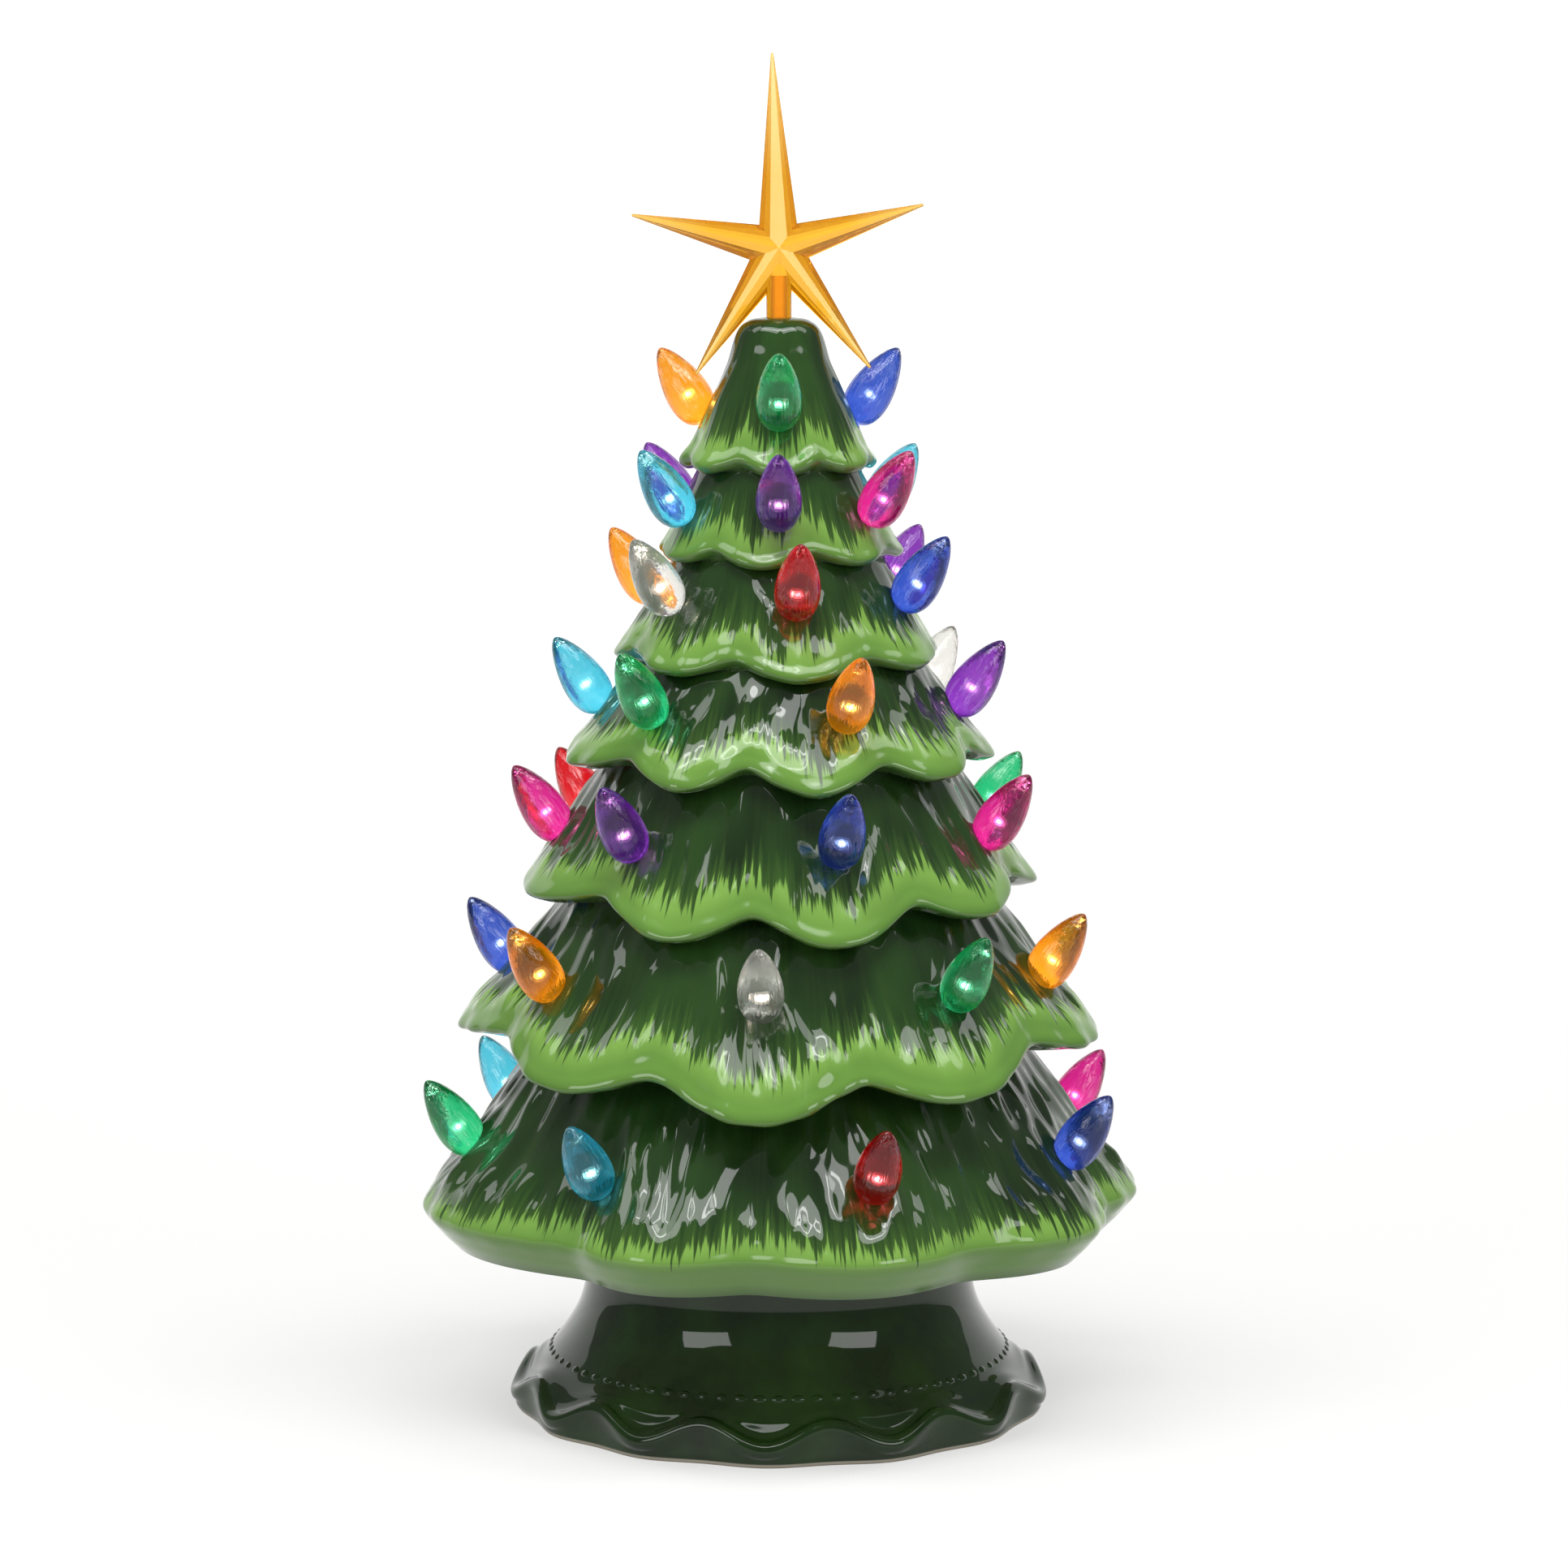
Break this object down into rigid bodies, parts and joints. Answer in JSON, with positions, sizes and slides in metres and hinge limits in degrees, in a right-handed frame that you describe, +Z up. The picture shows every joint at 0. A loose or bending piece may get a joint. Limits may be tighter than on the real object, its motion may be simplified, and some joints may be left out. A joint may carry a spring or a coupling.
{
  "type": "ceramic christmas tree",
  "caption": "Table-top ceramic christmas tree with lobed, glazed tiers, coloured plastic bulbs and a star, which lifts off a ruffled base that holds a battery light",
  "frame": {"origin": "centre of the foot ring, on the surface that the tree stands on", "axes": "+Z up through the star, -Y is the front, +X is the viewer's right"},
  "size_m": [0.2008, 0.2008, 0.3784],
  "materials": {
    "green_glaze": "glossy dark green glaze, light green hems",
    "amber_acrylic": "clear amber moulding",
    "white_plastic": "fine moulded texture",
    "black_plastic": "moulded",
    "frosted_plastic": "frosted diffuser",
    "circuit_board": "solder mask",
    "led_lens": "phosphor under clear resin",
    "cell_wrap": "plain printed wrap, no lettering",
    "plated_steel": "bright nickel plate",
    "bulb_red": "clear tinted moulding, ribbed",
    "bulb_amber": "clear tinted moulding, ribbed",
    "bulb_green": "clear tinted moulding, ribbed",
    "bulb_blue": "clear tinted moulding, ribbed",
    "bulb_aqua": "clear tinted moulding, ribbed",
    "bulb_violet": "clear tinted moulding, ribbed",
    "bulb_pink": "clear tinted moulding, ribbed",
    "bulb_clear": "clear tinted moulding, ribbed"
  },
  "bodies": {
    "base_unit": {"base_shell": "green_glaze", "lamp_housing": "white_plastic", "lamp_deck": "white_plastic", "deck_screws": "plated_steel", "led_board": "circuit_board", "leds": "led_lens", "diffuser_dome": "frosted_plastic", "battery_cells": "cell_wrap", "contact_plates": "plated_steel", "door_hinge_pin": "plated_steel", "switch_body": "black_plastic"},
    "tree": {"tree_shell": "green_glaze", "bulbs_red": "bulb_red", "bulbs_amber": "bulb_amber", "bulbs_green": "bulb_green", "bulbs_blue": "bulb_blue", "bulbs_aqua": "bulb_aqua", "bulbs_violet": "bulb_violet", "bulbs_pink": "bulb_pink", "bulbs_clear": "bulb_clear"},
    "star": {"star_topper": "amber_acrylic"},
    "door": {"battery_door": "white_plastic"},
    "knob": {"switch_knob": "black_plastic"}
  },
  "joints": [
    {"name": "tree_lift", "type": "slide", "parent": "base_unit", "child": "tree", "axis": [0, 0, 1], "range_m": [0, 0.08]},
    {"name": "star_lift", "type": "slide", "parent": "tree", "child": "star", "axis": [0, 0, 1], "range_m": [0, 0.03]},
    {"name": "door_hinge", "type": "hinge", "parent": "base_unit", "child": "door", "pos_m": [0, 0.02995, 0.0048], "axis": [1, 0, 0], "range_deg": [0, 80]},
    {"name": "switch_slide", "type": "slide", "parent": "base_unit", "child": "knob", "axis": [0, 1, 0], "range_m": [0, 0.004]}
  ]
}
